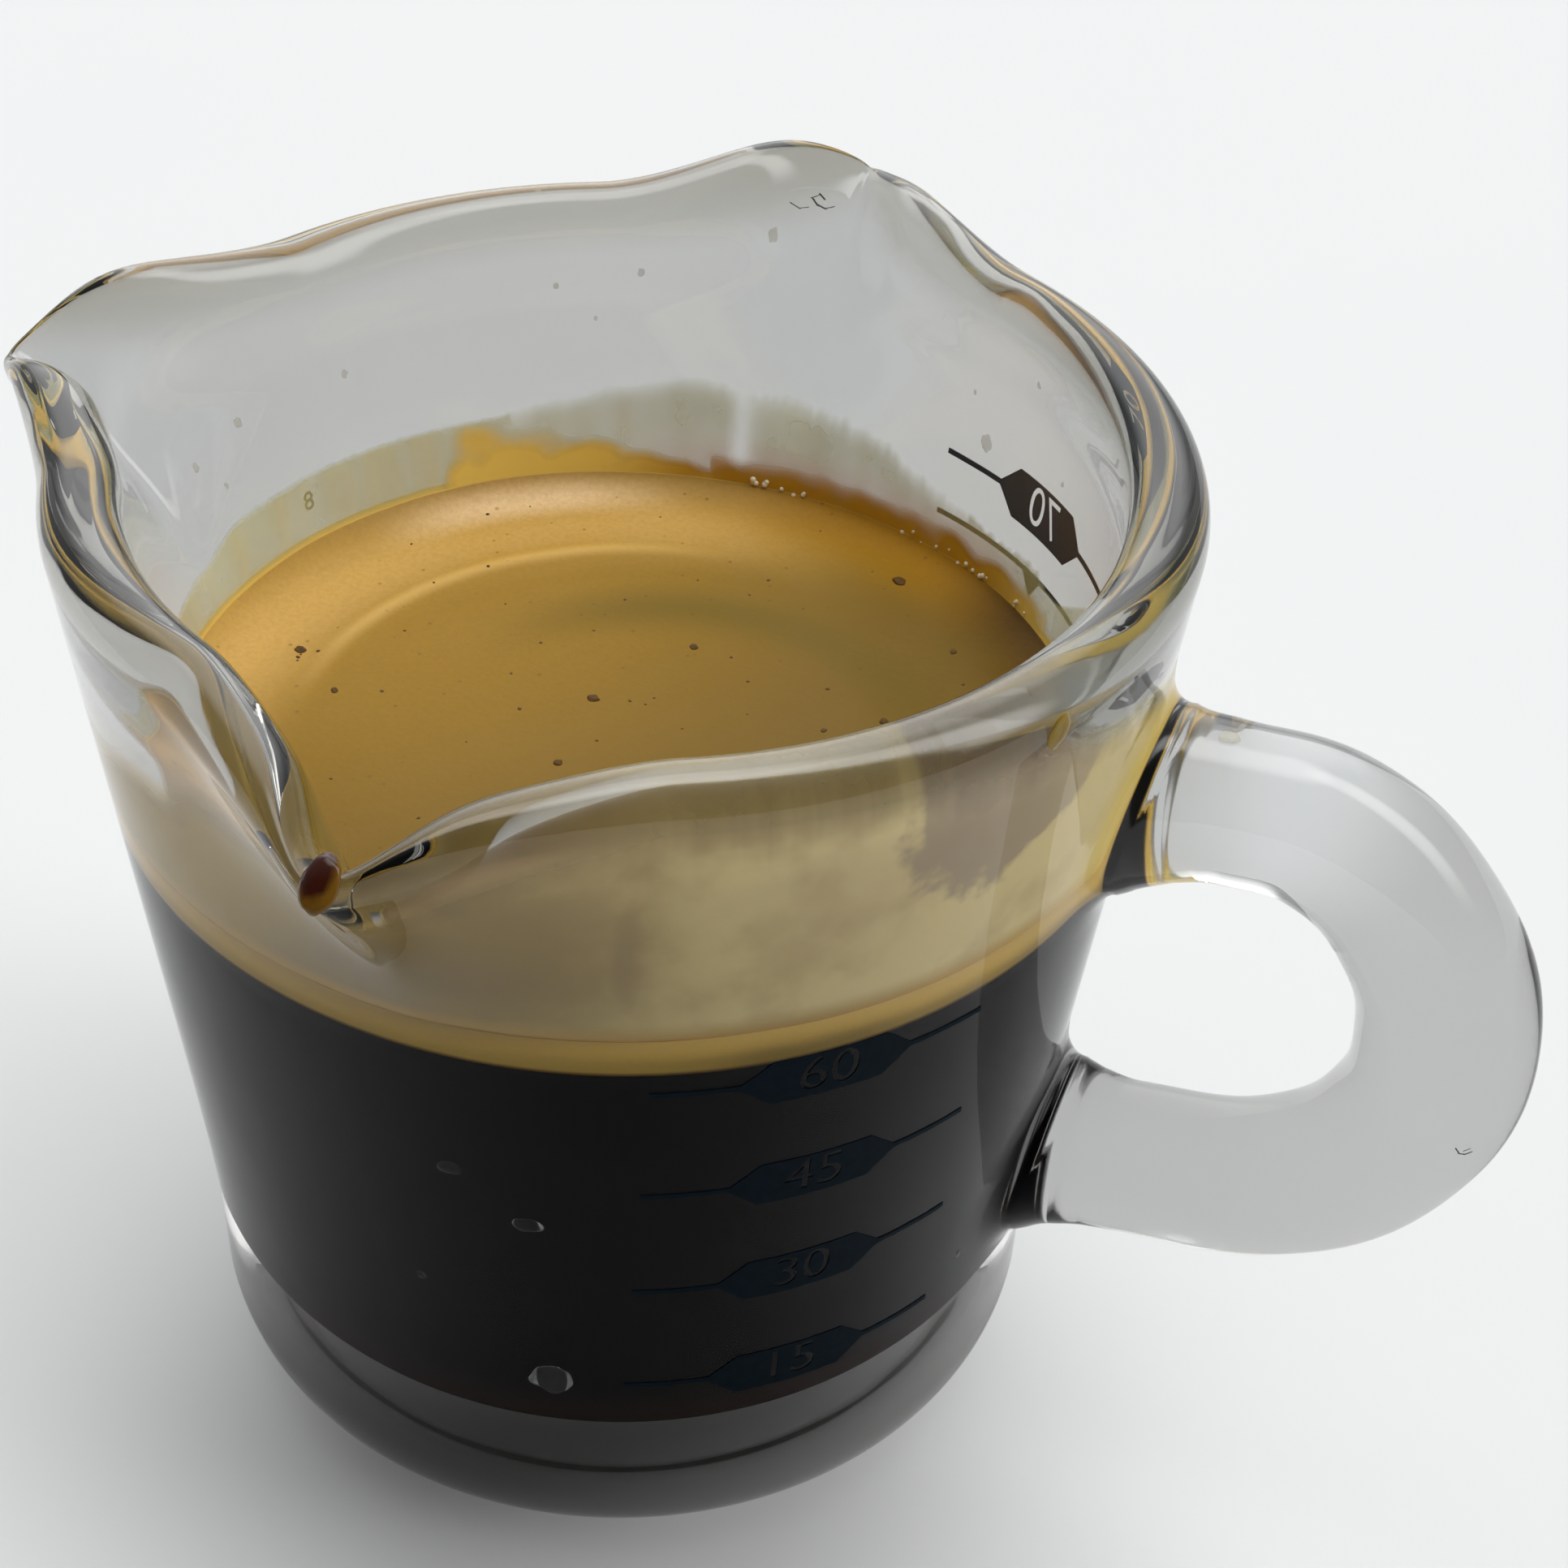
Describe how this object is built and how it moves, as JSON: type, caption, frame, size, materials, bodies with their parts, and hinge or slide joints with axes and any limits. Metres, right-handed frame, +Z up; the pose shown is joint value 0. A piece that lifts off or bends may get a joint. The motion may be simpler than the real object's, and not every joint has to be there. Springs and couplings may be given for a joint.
{
  "type": "double espresso in a glass jug",
  "caption": "Double espresso with its crema in a small clear glass jug with pouring lips, a printed scale and a rod handle.",
  "frame": {"origin": "centre of the jug's flat base, on the jug's axis", "axes": "+Z up along the jug's axis, +X towards the handle, -X towards the lip opposite the handle"},
  "size_m": [0.0905, 0.0762, 0.0623],
  "materials": {
    "clear_glass": "clear, fire polished",
    "black_coffee": "liquid, nearly black with a reddish edge",
    "crema": "fine foam, satin"
  },
  "bodies": {
    "root": {"glass_jug": "clear_glass", "coffee": "black_coffee", "crema": "crema"}
  },
  "joints": []
}
